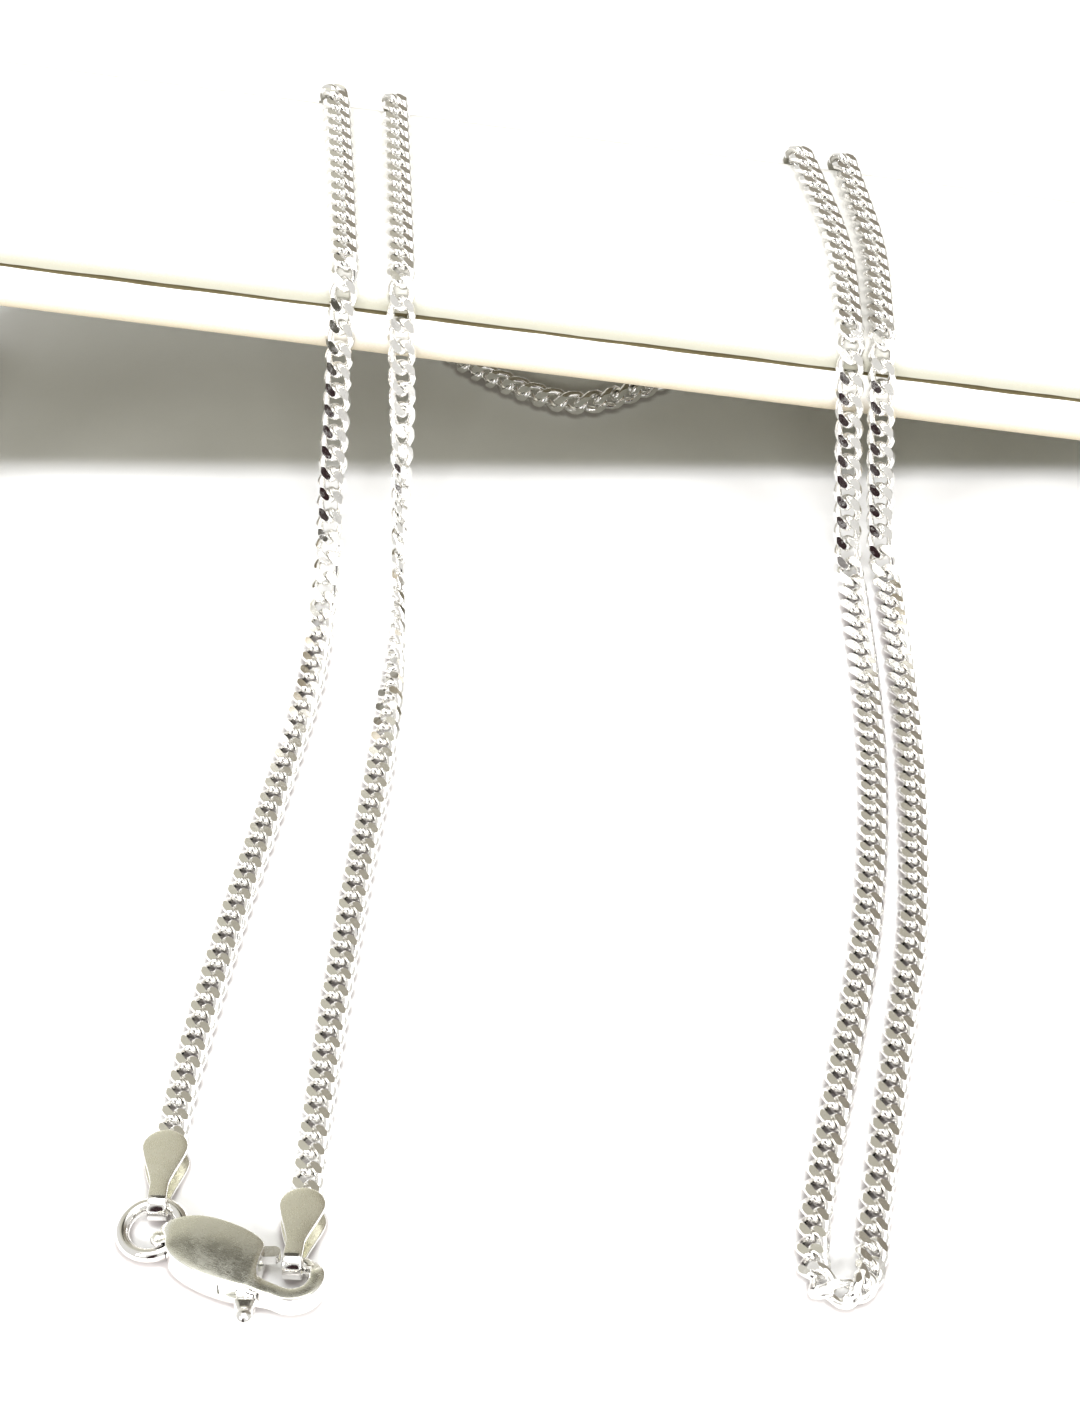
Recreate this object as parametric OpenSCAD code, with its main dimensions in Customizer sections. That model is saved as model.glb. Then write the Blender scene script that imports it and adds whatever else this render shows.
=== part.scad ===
// Curb chain necklace with a lobster clasp, doubled over a low display board and lying on the
// floor in front of it. Millimetres, +Z up, +X to the right, the viewer on the -Y side. The origin
// is on the floor at the middle of the whole thing.

/* [Chain] */
// Width of the chain
chain_w = 2.1; // [1.7:0.1:2.3]
// Thickness of the chain
chain_t = 1.0; // [0.8:0.05:1.1]

/* [End caps] */
// Length of an end cap from its wide end to its fold
cap_len = 6.2; // [5.6:0.1:6.8]
// Width of a cap's leaves at the chain
cap_w = 2.7; // [2.4:0.1:3.2]
// Width of the strip where it folds round
cap_neck_w = 1.1; // [0.9:0.05:1.2]
// Thickness of the sheet
cap_sheet = 0.3; // [0.2:0.02:0.32]
// Clearance between the chain's end and each leaf
cap_chain_gap = 0.1; // [0.08:0.01:0.12]
// Clearance between a fold and the wire in it
cap_fold_gap = 0.1; // [0.06:0.02:0.12]
// Turn of the left cap, seen from above
cap_left_turn = -2; // [-4:1:0]
// Turn of the right cap, seen from above
cap_right_turn = -5; // [-8:1:-3]

/* [Jump ring] */
// Outer diameter of the jump ring
ring_d = 4.45; // [4.3:0.05:4.6]
// Diameter of its wire
ring_wire = 0.85; // [0.7:0.05:0.9]
// Lean of the ring, which lies on the floor at one side only
ring_lean = 10.5; // [9:0.5:12]

/* [Clasp] */
// Length of the clasp from its tail to the outside of its hook
clasp_len = 10.8; // [10.6:0.1:11.2]
// Length of the closed body without the hook
body_len = 6.7; // [6.5:0.1:6.8]
// Width of the body at its middle
body_w = 3.9; // [3.7:0.1:4.3]
// Height of the body at its middle
body_h = 2.4; // [2.3:0.05:2.8]
// Width of the tail that closes round the jump ring
tail_w = 1.3; // [1.1:0.1:1.6]
// Clearance round the jump ring in the tail
eye_gap = 0.17; // [0.1:0.01:0.2]
// Outer diameter of the hook
hook_d = 3.7; // [3.6:0.1:3.8]
// Width of the hook's metal
hook_w = 0.85; // [0.8:0.05:0.9]
// Height of the hook's underside over the floor
hook_low = 0.4; // [0.3:0.05:0.5]
// Height of the hook's top over the floor
hook_top = 1.95; // [1.85:0.05:2.1]

/* [Lever] */
// Thickness of the lever's plate
lever_t = 0.66; // [0.5:0.02:0.7]
// Clearance round the lever inside the body
lever_gap = 0.08; // [0.06:0.01:0.1]
// Width of the gate that closes the hook
gate_w = 0.8; // [0.7:0.05:0.9]
// Width of the arm that carries the knob
arm_w = 0.9; // [0.8:0.05:1]
// Diameter of the knob's round end
knob_d = 1.1; // [0.9:0.05:1.2]
// Diameter of the pin that the lever turns on
pin_d = 0.6; // [0.5:0.02:0.64]
// Running clearance between the pin and the lever, on the radius
pin_gap = 0.03; // [0.02:0.01:0.05]
// How far the lever opens
lever_open = 25; // [20:1:25]

/* [Board] */
// Length of the board
board_len = 101; // [94:1:110]
// Depth of the board from front to back
board_depth = 26; // [25.2:0.1:26.4]
// Thickness of the upper layer
upper_t = 2.2; // [2:0.1:2.4]
// Thickness of the lower layer
lower_t = 3.5; // [3:0.1:5]
// Open seam between the two layers
seam = 0.15; // [0.1:0.05:0.2]
// Radius of the upper layer's long edges
edge_r = 1.9; // [1.6:0.1:1.95]
// Slope of the board, whose left end is the higher one
board_slope = 8.5; // [8.3:0.1:8.7]
// Thickness of the end walls that carry the board
foot_t = 3.5; // [2.5:0.5:6]
// Distance of each end wall from the board's end
foot_inset = 1.5; // [0.5:0.5:4]
// Setback of the end walls from the board's front and back
foot_setback = 1; // [0.5:0.5:3]

/* [Hidden] */
$fn = 64;
// Small gap that keeps two fixed pieces apart
air = 0.05;
// Overshoot of a cut past the face that it opens
cut = 0.5;
// Reach of a rounding cylinder past the clasp on each side
reach = 10;

// The chain's way, from the left end cap to the right one. Each row is a place of the chain's
// middle, x, y, z, and the direction that its flat side faces, x, y, z.
route = [
    [-22.2, -44.4, 0.97, 0, 0, 1],
    [-21.8, -38, 0.6, 0, 0, 1],
    [-20.1, -25, 0.55, 0, 0, 1],
    [-18.0, -12, 0.55, 0, 0, 1],
    [-16.2, 0, 0.55, 0, 0, 1],
    [-15.85, 5, 0.6, 0, -0.1, 1],
    [-15.55, 9.25, 1.5, 0, -0.45, 1],
    [-15.2, 12.7, 4.1, 0, -1, 0.85],
    [-15, 14.5, 7.4, 0, -1, 0.35],
    [-14, 18.6, 19.6, 0.05, -1, 0.35],
    [-13.8, 19.5, 21.7, 0.15, -1, 1],
    [-13.8, 21.2, 22.5, 0.15, -0.1, 1],
    [-15.3, 42.6, 22.7, 0.15, 0.1, 1],
    [-15.7, 45.2, 22.5, 0.15, 0.8, 1],
    [-16.2, 46.9, 19.6, 0.05, 1, 0.3],
    [-16.8, 48.2, 12, 0, 1, 0.2],
    [-17.0, 50.2, 5, 0, 1, 0.6],
    [-15.4, 53.4, 1.4, 0, 0.5, 1],
    [-10.5, 56.1, 0.55, 0, 0, 1],
    [-2, 56.75, 0.55, 0, 0, 1],
    [10, 56.75, 0.55, 0, 0, 1],
    [19.2, 55.2, 0.6, 0, 0.1, 1],
    [22.6, 52.4, 1.5, 0, 0.6, 1],
    [23.2, 49.6, 4.4, 0, 1, 0.6],
    [23.3, 46.9, 13.8, 0.05, 1, 0.3],
    [23.3, 45.2, 16.7, 0.15, 0.8, 1],
    [23.6, 42.6, 16.9, 0.15, 0.1, 1],
    [24.7, 32, 16.7, 0.15, 0, 1],
    [24.5, 21.2, 16.8, 0.15, -0.1, 1],
    [24.5, 19.5, 16, 0.15, -1, 1],
    [24.5, 18.6, 13.9, 0.05, -1, 0.35],
    [24.8, 14.75, 2.7, 0, -1, 0.5],
    [25, 13.6, 1.15, 0, -0.7, 1],
    [25.3, 11.6, 0.6, 0, 0, 1],
    [25.4, -2, 0.55, 0, 0, 1],
    [25.0, -13, 0.55, 0, 0, 1],
    [23.9, -25, 0.55, 0, 0, 1],
    [21.8, -37, 0.55, 0, 0, 1],
    [19.5, -50, 0.55, 0, 0, 1],
    [19.1, -53.2, 0.8, 0.5, -0.2, 1],
    [18.4, -55.1, 1.1, 0.8, -0.9, 0.3],
    [17.75, -55.5, 1.15, 0.1, -1, 0],
    [17.05, -55.5, 1.15, -0.1, -1, 0],
    [16.3, -55.1, 1.1, -0.8, -0.9, 0.3],
    [15.8, -53.2, 0.8, -0.5, -0.2, 1],
    [16.1, -49.5, 0.55, 0, 0, 1],
    [18.6, -37, 0.55, 0, 0, 1],
    [20.9, -25, 0.55, 0, 0, 1],
    [22.3, -13, 0.55, 0, 0, 1],
    [22.8, -2, 0.55, 0, 0, 1],
    [22.7, 11.6, 0.6, 0, 0, 1],
    [22.5, 13.6, 1.15, 0, -0.7, 1],
    [22.4, 14.75, 2.75, 0, -1, 0.5],
    [22.2, 18.6, 14.2, 0.05, -1, 0.35],
    [22.2, 19.5, 16.3, 0.15, -1, 1],
    [22.2, 21.2, 17.1, 0.15, -0.1, 1],
    [22.1, 32, 17.1, 0.15, 0, 1],
    [20.4, 42.6, 17.4, 0.15, 0.1, 1],
    [19.9, 45.2, 17.2, 0.15, 0.8, 1],
    [19.8, 46.9, 14.3, 0.05, 1, 0.3],
    [19.4, 47.6, 8, 0, 1, 0.1],
    [17.6, 46.4, 2.6, -0.3, 1, 0],
    [13.0, 41.4, 1.2, -0.7, 1, 0],
    [8.4, 37.0, 1.15, -0.6, 1, 0],
    [3.0, 34.6, 1.15, 0.1, 1, 0],
    [-2.4, 37.2, 1.15, 0.6, 1, 0],
    [-7.0, 41.6, 1.2, 0.7, 1, 0],
    [-9.8, 46.2, 3.2, 0.3, 1, 0],
    [-10.6, 47.8, 10, 0, 1, 0.1],
    [-11.0, 46.9, 18.9, 0.05, 1, 0.3],
    [-11.1, 45.2, 21.8, 0.15, 0.8, 1],
    [-10.9, 42.6, 22.0, 0.15, 0.1, 1],
    [-9.8, 21.2, 21.9, 0.15, -0.1, 1],
    [-9.8, 19.5, 21.1, 0.2, -1, 1],
    [-9.8, 18.5, 18.8, 0.2, -1, 0.3],
    [-9.8, 17.1, 14.6, 0.35, -1, 0.3],
    [-9.9, 15.35, 9.3, 1.2, -0.7, 0.2],
    [-10.1, 13.4, 4.1, 1, -0.15, 0.1],
    [-10.2, 10.6, 1.75, 1, 0, -0.05],
    [-10.2, 5.5, 1.15, 1, 0, -0.4],
    [-10.4, -1, 0.9, 0.45, 0, -0.9],
    [-10.9, -8, 0.6, 0.05, 0, -1],
    [-12.1, -21, 0.55, 0, 0, -1],
    [-13.1, -34, 0.55, 0, 0, -1],
    [-13.9, -48.9, 1.03, 0, 0, -1]
];
// Rows of the route that belong to the outer strand, the rest to the inner one
outer_rows = 42;
// Corners of the strand's section, as shares of half its width and half its thickness
strand_corners = [
    [1, 0.5], [0.62, 1], [-0.62, 1], [-1, 0.5], [-1, -0.5], [-0.62, -1], [0.62, -1], [1, -0.5]
];

// Place of the clasp's own frame on the floor: u runs towards the hook, v away from the viewer
clasp_at = [-18.9, -53, 0];
clasp_turn = -27;
// Middle of the body across, and the ends of the body along u
body_v = 0.2;
tail_u = -4;
front_u = tail_u + body_len;
// Half width of the body's outline at its tail end, and the radius of its two long sides
nose_half = 0.72;
side_run = 4.2;
side_r = (side_run * side_run + pow(body_w / 2 - nose_half, 2)) / (body_w - 2 * nose_half);
corner_r = 0.4;
// Radii of the dome over the body, across and along, and its highest place along u
dome_across_r = 4.6;
dome_along_r = 14;
dome_u = -0.6;
hook_r = hook_d / 2;
hole_r = hook_r - hook_w;
hook_u = tail_u + clasp_len - hook_r;
hook_v = 0.6;
// Dome over the hook, and its highest place across
hook_dome_r = 5;
hook_dome_v = -0.4;
// The hook's round arm, which the right end cap hangs on
arm_v = hook_v + hook_r - hook_w / 2;
arm_z = (hook_low + hook_top) / 2;
arm_r = hook_w / 2;
pivot = [1.1, 0.9];
gate_end = [2.95, arm_v - 0.08];
gate_r = gate_w / 2;
// The arm starts clear of the gate's swing
tip_u = pivot[0] + sqrt(pow(norm(gate_end - pivot) + gate_r + arm_r + lever_gap, 2)
    - pow(arm_v - pivot[1], 2));
shoulder_u = hook_u + 0.2;
lever_z = arm_z - lever_t / 2;
boss_r = 0.78;
knob_root = [3.3, -1.85];
knob_len = 1.7;
knob_turn = -clasp_turn;
knob_waist_r = 0.36;
knob_root_r = 0.5;
bore_top = body_h - 0.55;

// The jump ring hangs in the tail and carries the left end cap
ring_at = [-22.65, -50.3];
ring_lean_to = 45;
ring_r = (ring_d - ring_wire) / 2;
ring_z = ring_wire / 2 + ring_r * sin(ring_lean) + 0.02;

cap_gap = chain_t + 2 * cap_chain_gap;
cap_h = cap_gap + 2 * cap_sheet;
fold_r = cap_h / 2;
leaf_len = cap_len - fold_r;
cap_rest_z = cap_h / 2 + air;
// How far a fold's middle lies behind the middle of the wire in it, from the room that is left there
function fold_run(wire_r, bend) = cap_gap / 2 - wire_r - bend - cap_fold_gap;
ring_top = [ring_at[0] + 0.2, ring_at[1] + ring_r];
ring_top_z = ring_z + ring_r * sin(ring_lean) * cos(90 - ring_lean_to);
ring_bend = pow(cap_neck_w / 2 + 0.3, 2) / (2 * ring_r);
left_fold = [ring_top[0], ring_top[1] + fold_run(ring_wire / 2, ring_bend), ring_top_z];
// The right cap's fold goes round the arm at this place along it
hang_u = tip_u + 0.3;
hang_skew = -clasp_turn + cap_right_turn;
hang_bend = cap_neck_w / 2 * tan(hang_skew) + arm_r / cos(hang_skew) - arm_r;
hang = clasp_at + [
    hang_u * cos(clasp_turn) - arm_v * sin(clasp_turn),
    hang_u * sin(clasp_turn) + arm_v * cos(clasp_turn), arm_z
];
right_fold = [hang[0], hang[1] + fold_run(arm_r, hang_bend), arm_z];

board_y = 32.5;
board_z = 16.7;
board_stack = lower_t + seam + upper_t;
foot_x = board_len / 2 * cos(board_slope) - foot_inset;
foot_depth = board_depth - 2 * foot_setback;

function unit(v) = v / norm(v);
function place(i) = [route[i][0], route[i][1], route[i][2]];
function facing(i) = [route[i][3], route[i][4], route[i][5]];
// Direction of the strand at row i, from the rows beside it
function heading(i) = unit(place(min(i + 1, len(route) - 1)) - place(max(i - 1, 0)));
function across(i) = unit(cross(facing(i), heading(i)));
function corner(i, c) = place(i) + across(i) * c[0] * chain_w / 2
    + cross(heading(i), across(i)) * c[1] * chain_t / 2;

// Tube along the rows first to last of the route
module strand(first, last) {
    sides = len(strand_corners);
    rings = last - first + 1;
    points = [for (i = [first:last]) for (c = strand_corners) corner(i, c)];
    walls = [
        for (i = [0:rings - 2]) for (k = [0:sides - 1])
            let (a = i * sides + k, b = i * sides + (k + 1) % sides)
            each [[a, b, b + sides], [a, b + sides, a + sides]]
    ];
    start = [for (k = [sides - 1:-1:0]) k];
    end = [for (k = [0:sides - 1]) (rings - 1) * sides + k];
    polyhedron(points = points, faces = concat([start], walls, [end]), convexity = 10);
}

// Flat bar with round ends between two points of the plan
module bar(p, q, r) {
    translate(p) circle(r);
    translate(q) circle(r);
    translate(p) rotate(atan2(q[1] - p[1], q[0] - p[0])) translate([0, -r]) square([norm(q - p), 2 * r]);
}

// Plan that a bar covers as it turns round the pivot to the open lever
module swept_bar(q, r) {
    turned = [
        (q[0] - pivot[0]) * cos(lever_open) + (q[1] - pivot[1]) * sin(lever_open) + pivot[0],
        (q[1] - pivot[1]) * cos(lever_open) - (q[0] - pivot[0]) * sin(lever_open) + pivot[1]
    ];
    bar(pivot, q, r);
    bar(pivot, turned, r);
    bar(q, turned, r);
    polygon([pivot, q, turned]);
}

module in_clasp() {
    translate(clasp_at) rotate([0, 0, clasp_turn]) children();
}

module in_ring() {
    translate([ring_at[0], ring_at[1], ring_z])
        rotate([0, 0, ring_lean_to]) rotate([0, -ring_lean, 0]) children();
}

module ring_solid(wire_r) {
    in_ring() rotate_extrude() translate([ring_r, 0]) circle(wire_r);
}

module jump_ring() {
    color("silver") ring_solid(ring_wire / 2);
}

module body_outline() {
    intersection() {
        translate([0.2, body_v - side_r + body_w / 2]) circle(side_r);
        translate([0.2, body_v + side_r - body_w / 2]) circle(side_r);
        union() {
            translate([tail_u + 1, body_v - body_w]) square([body_len - 1 - corner_r, 2 * body_w]);
            translate([front_u - 2 * corner_r, body_v - body_w]) square([2 * corner_r, body_w * 1.28]);
            translate([front_u - corner_r, body_v + body_w * 0.28]) circle(corner_r);
        }
    }
    bar([tail_u + tail_w / 2, body_v], [0, body_v], tail_w / 2);
}

module hook_outline() {
    spine_from = [1.6, body_v - body_w / 2 + 0.13];
    to_hook = [hook_u, hook_v] - spine_from;
    lean = atan2(to_hook[1], to_hook[0]) - asin(hook_r / norm(to_hook));
    difference() {
        union() {
            translate([hook_u, hook_v]) circle(hook_r);
            polygon([
                [spine_from[0] - 0.8, hook_v - hole_r], [spine_from[0] - 0.8, spine_from[1]], spine_from,
                [hook_u + hook_r * sin(lean), hook_v - hook_r * cos(lean)], [hook_u, hook_v]
            ]);
        }
        bar([front_u + hole_r, hook_v], [hook_u, hook_v], hole_r);
        translate([front_u, hook_v]) square([shoulder_u - front_u, 2 * hook_r]);
    }
}

module clasp_casting() {
    intersection() {
        linear_extrude(body_h) body_outline();
        translate([-reach, body_v, body_h - dome_across_r]) rotate([0, 90, 0])
            cylinder(h = 2 * reach, r = dome_across_r);
        translate([dome_u, reach, body_h - dome_along_r]) rotate([90, 0, 0])
            cylinder(h = 2 * reach, r = dome_along_r, $fn = 128);
    }
    intersection() {
        translate([0, 0, hook_low]) linear_extrude(hook_top - hook_low) hook_outline();
        translate([-reach, hook_dome_v, hook_top - hook_dome_r]) rotate([0, 90, 0])
            cylinder(h = 2 * reach, r = hook_dome_r);
    }
    translate([tip_u, arm_v, arm_z]) rotate([0, 90, 0]) cylinder(h = hook_u + hook_w - tip_u, r = arm_r);
    translate([tip_u, arm_v, arm_z]) sphere(arm_r);
}

module clasp_body() {
    color("silver") difference() {
        in_clasp() difference() {
            clasp_casting();
            translate([0, 0, lever_z - lever_gap]) linear_extrude(lever_t + 2 * lever_gap) {
                translate(pivot) circle(boss_r + lever_gap);
                swept_bar(gate_end, gate_r + lever_gap);
                swept_bar(knob_root, arm_w / 2 + lever_gap);
            }
            translate([pivot[0], pivot[1], -cut]) cylinder(h = bore_top + cut, r = pin_d / 2 + 0.01);
        }
        ring_solid(ring_wire / 2 + eye_gap);
    }
}

module clasp_pin() {
    color("silver") in_clasp() translate([pivot[0], pivot[1], air])
        cylinder(h = bore_top - 2 * air, r = pin_d / 2);
}

module knob() {
    rotate([90, 0, 0]) rotate_extrude() difference() {
        union() {
            square([knob_waist_r, knob_len - knob_d / 2]);
            polygon([[0, 0], [knob_root_r, 0], [knob_waist_r, knob_len * 0.4], [0, knob_len * 0.4]]);
            translate([0, knob_len - knob_d / 2]) circle(knob_d / 2);
        }
        translate([-knob_d, -cut]) square([knob_d, knob_len + 2 * cut]);
    }
}

module clasp_lever() {
    color("silver") in_clasp() {
        difference() {
            translate([0, 0, lever_z]) linear_extrude(lever_t) {
                translate(pivot) circle(boss_r);
                bar(pivot, gate_end, gate_r);
                bar(pivot, knob_root, arm_w / 2);
            }
            translate([pivot[0], pivot[1], 0]) cylinder(h = body_h, r = pin_d / 2 + pin_gap);
        }
        translate([knob_root[0], knob_root[1], arm_z]) rotate([0, 0, knob_turn]) knob();
    }
}

module leaf_outline() {
    translate([0, leaf_len - cap_w / 2]) circle(cap_w / 2);
    translate([-cap_neck_w / 2, 0]) square([cap_neck_w, leaf_len - cap_w / 2]);
    polygon([
        [-cap_neck_w / 2, leaf_len * 0.2], [cap_neck_w / 2, leaf_len * 0.2],
        [cap_w * 0.49, leaf_len - cap_w * 0.6], [-cap_w * 0.49, leaf_len - cap_w * 0.6]
    ]);
}

// Folded strip, its fold's middle at the origin and its wide end along +Y
module end_cap(at, turn) {
    tilt = -asin((at[2] - cap_rest_z) / leaf_len);
    color("silver") translate(at) rotate([0, 0, turn]) rotate([tilt, 0, 0]) {
        translate([0, 0, cap_gap / 2]) linear_extrude(cap_sheet) leaf_outline();
        translate([0, 0, -cap_h / 2]) linear_extrude(cap_sheet) leaf_outline();
        rotate([0, 90, 0]) difference() {
            cylinder(h = cap_neck_w, r = fold_r, center = true);
            cylinder(h = cap_neck_w + cut, r = fold_r - cap_sheet, center = true);
            translate([-cap_h, 0, -cap_neck_w]) cube([2 * cap_h, cap_h, 2 * cap_neck_w]);
        }
    }
}

module in_board() {
    translate([0, board_y, board_z]) rotate([0, board_slope, 0]) children();
}

// Plank along X from its section in Y and Z
module plank() {
    rotate([90, 0, 90]) linear_extrude(board_len, center = true) children();
}

module board_upper() {
    flat = board_depth - 2 * edge_r;
    color("ivory") in_board() translate([0, 0, board_stack / 2]) plank() {
        translate([-board_depth / 2, -upper_t]) square([board_depth, upper_t - edge_r]);
        translate([-flat / 2, -upper_t]) square([flat, upper_t]);
        for (side = [-1, 1]) intersection() {
            translate([side * flat / 2, -edge_r]) circle(edge_r);
            translate([-board_depth / 2, -upper_t]) square([board_depth, upper_t]);
        }
    }
}

module board_lower() {
    color("ivory") in_board() translate([0, 0, lower_t / 2 - board_stack / 2])
        plank() square([board_depth, lower_t], center = true);
}

// End wall under the board, on the side -1 or 1, cut to the slope of the board's underside
module foot(side) {
    color("ivory") difference() {
        translate([side * (foot_x - foot_t / 2), board_y, board_z])
            cube([foot_t, foot_depth, 2 * board_z], center = true);
        in_board() translate([0, 0, board_len / 2 - board_stack / 2 - air])
            cube([2 * board_len, 2 * board_depth, board_len], center = true);
    }
}

module chain_outer() {
    color("silver") strand(0, outer_rows - 1);
}

module chain_inner() {
    color("silver") strand(outer_rows, len(route) - 1);
}

chain_outer();
chain_inner();
end_cap(left_fold, cap_left_turn);  // end_cap_left
end_cap(right_fold, cap_right_turn);  // end_cap_right
jump_ring();
clasp_body();
clasp_pin();
clasp_lever();
board_upper();
board_lower();
foot(-1);  // foot_left
foot(1);  // foot_right
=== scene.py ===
import math
import bmesh
import bpy
import numpy as np
from mathutils import Matrix, Vector


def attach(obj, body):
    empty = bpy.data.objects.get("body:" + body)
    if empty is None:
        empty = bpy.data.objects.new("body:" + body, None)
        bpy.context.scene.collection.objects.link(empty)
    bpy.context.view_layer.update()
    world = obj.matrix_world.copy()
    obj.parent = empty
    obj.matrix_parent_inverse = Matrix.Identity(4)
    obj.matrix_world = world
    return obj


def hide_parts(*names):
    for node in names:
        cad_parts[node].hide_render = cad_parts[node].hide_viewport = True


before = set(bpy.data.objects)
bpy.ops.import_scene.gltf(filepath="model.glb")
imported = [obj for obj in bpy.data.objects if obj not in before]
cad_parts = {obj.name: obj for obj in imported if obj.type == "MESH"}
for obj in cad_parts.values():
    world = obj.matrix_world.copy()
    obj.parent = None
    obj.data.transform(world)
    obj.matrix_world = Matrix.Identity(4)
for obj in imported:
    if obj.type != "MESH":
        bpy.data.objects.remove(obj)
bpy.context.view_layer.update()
scene = bpy.context.scene


def say(text):
    print("stage:", text, flush=True)


# The route of the chain: points in metres with the direction that the chain's face looks in,
# the same as in the part's source
chainRoute = {
    "outerRows": 42,
    "rows": [
        (-0.0222, -0.0444, 0.00097, 0, 0, 1), (-0.0218, -0.038, 0.0006, 0, 0, 1),
        (-0.0201, -0.025, 0.00055, 0, 0, 1), (-0.018, -0.012, 0.00055, 0, 0, 1),
        (-0.0162, 0, 0.00055, 0, 0, 1), (-0.01585, 0.005, 0.0006, 0, -0.1, 1),
        (-0.01555, 0.00925, 0.0015, 0, -0.45, 1), (-0.0152, 0.0127, 0.0041, 0, -1, 0.85),
        (-0.015, 0.0145, 0.0074, 0, -1, 0.35), (-0.014, 0.0186, 0.0196, 0.05, -1, 0.35),
        (-0.0138, 0.0195, 0.0217, 0.15, -1, 1), (-0.0138, 0.0212, 0.0225, 0.15, -0.1, 1),
        (-0.0153, 0.0426, 0.0227, 0.15, 0.1, 1), (-0.0157, 0.0452, 0.0225, 0.15, 0.8, 1),
        (-0.0162, 0.0469, 0.0196, 0.05, 1, 0.3), (-0.0168, 0.0482, 0.012, 0, 1, 0.2),
        (-0.017, 0.0502, 0.005, 0, 1, 0.6), (-0.0154, 0.0534, 0.0014, 0, 0.5, 1),
        (-0.0105, 0.0561, 0.00055, 0, 0, 1), (-0.002, 0.05675, 0.00055, 0, 0, 1),
        (0.01, 0.05675, 0.00055, 0, 0, 1), (0.0192, 0.0552, 0.0006, 0, 0.1, 1),
        (0.0226, 0.0524, 0.0015, 0, 0.6, 1), (0.0232, 0.0496, 0.0044, 0, 1, 0.6),
        (0.0233, 0.0469, 0.0138, 0.05, 1, 0.3), (0.0233, 0.0452, 0.0167, 0.15, 0.8, 1),
        (0.0236, 0.0426, 0.0169, 0.15, 0.1, 1), (0.0247, 0.032, 0.0167, 0.15, 0, 1),
        (0.0245, 0.0212, 0.0168, 0.15, -0.1, 1), (0.0245, 0.0195, 0.016, 0.15, -1, 1),
        (0.0245, 0.0186, 0.0139, 0.05, -1, 0.35), (0.0248, 0.01475, 0.0027, 0, -1, 0.5),
        (0.025, 0.0136, 0.00115, 0, -0.7, 1), (0.0253, 0.0116, 0.0006, 0, 0, 1),
        (0.0254, -0.002, 0.00055, 0, 0, 1), (0.025, -0.013, 0.00055, 0, 0, 1),
        (0.0239, -0.025, 0.00055, 0, 0, 1), (0.0218, -0.037, 0.00055, 0, 0, 1),
        (0.0195, -0.05, 0.00055, 0, 0, 1), (0.0191, -0.0532, 0.0008, 0.5, -0.2, 1),
        (0.0184, -0.0551, 0.0011, 0.8, -0.9, 0.3), (0.01775, -0.0555, 0.00115, 0.1, -1, 0),
        (0.01705, -0.0555, 0.00115, -0.1, -1, 0), (0.0163, -0.0551, 0.0011, -0.8, -0.9, 0.3),
        (0.0158, -0.0532, 0.0008, -0.5, -0.2, 1), (0.0161, -0.0495, 0.00055, 0, 0, 1),
        (0.0186, -0.037, 0.00055, 0, 0, 1), (0.0209, -0.025, 0.00055, 0, 0, 1),
        (0.0223, -0.013, 0.00055, 0, 0, 1), (0.0228, -0.002, 0.00055, 0, 0, 1),
        (0.0227, 0.0116, 0.0006, 0, 0, 1), (0.0225, 0.0136, 0.00115, 0, -0.7, 1),
        (0.0224, 0.01475, 0.00275, 0, -1, 0.5), (0.0222, 0.0186, 0.0142, 0.05, -1, 0.35),
        (0.0222, 0.0195, 0.0163, 0.15, -1, 1), (0.0222, 0.0212, 0.0171, 0.15, -0.1, 1),
        (0.0221, 0.032, 0.0171, 0.15, 0, 1), (0.0204, 0.0426, 0.0174, 0.15, 0.1, 1),
        (0.0199, 0.0452, 0.0172, 0.15, 0.8, 1), (0.0198, 0.0469, 0.0143, 0.05, 1, 0.3),
        (0.0194, 0.0476, 0.008, 0, 1, 0.1), (0.0176, 0.0464, 0.0026, -0.3, 1, 0),
        (0.013, 0.0414, 0.0012, -0.7, 1, 0), (0.0084, 0.037, 0.00115, -0.6, 1, 0),
        (0.003, 0.0346, 0.00115, 0.1, 1, 0), (-0.0024, 0.0372, 0.00115, 0.6, 1, 0),
        (-0.007, 0.0416, 0.0012, 0.7, 1, 0), (-0.0098, 0.0462, 0.0032, 0.3, 1, 0),
        (-0.0106, 0.0478, 0.01, 0, 1, 0.1), (-0.011, 0.0469, 0.0189, 0.05, 1, 0.3),
        (-0.0111, 0.0452, 0.0218, 0.15, 0.8, 1), (-0.0109, 0.0426, 0.022, 0.15, 0.1, 1),
        (-0.0098, 0.0212, 0.0219, 0.15, -0.1, 1), (-0.0098, 0.0195, 0.0211, 0.2, -1, 1),
        (-0.0098, 0.0185, 0.0188, 0.2, -1, 0.3), (-0.0098, 0.0171, 0.0146, 0.35, -1, 0.3),
        (-0.0099, 0.01535, 0.0093, 1.2, -0.7, 0.2), (-0.0101, 0.0134, 0.0041, 1, -0.15, 0.1),
        (-0.0102, 0.0106, 0.00175, 1, 0, -0.05), (-0.0102, 0.0055, 0.00115, 1, 0, -0.4),
        (-0.0104, -0.001, 0.0009, 0.45, 0, -0.9), (-0.0109, -0.008, 0.0006, 0.05, 0, -1),
        (-0.0121, -0.021, 0.00055, 0, 0, -1), (-0.0131, -0.034, 0.00055, 0, 0, -1),
        (-0.0139, -0.0489, 0.00103, 0, 0, -1),
    ],
    "stepsPerSpan": 24,
}


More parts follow.
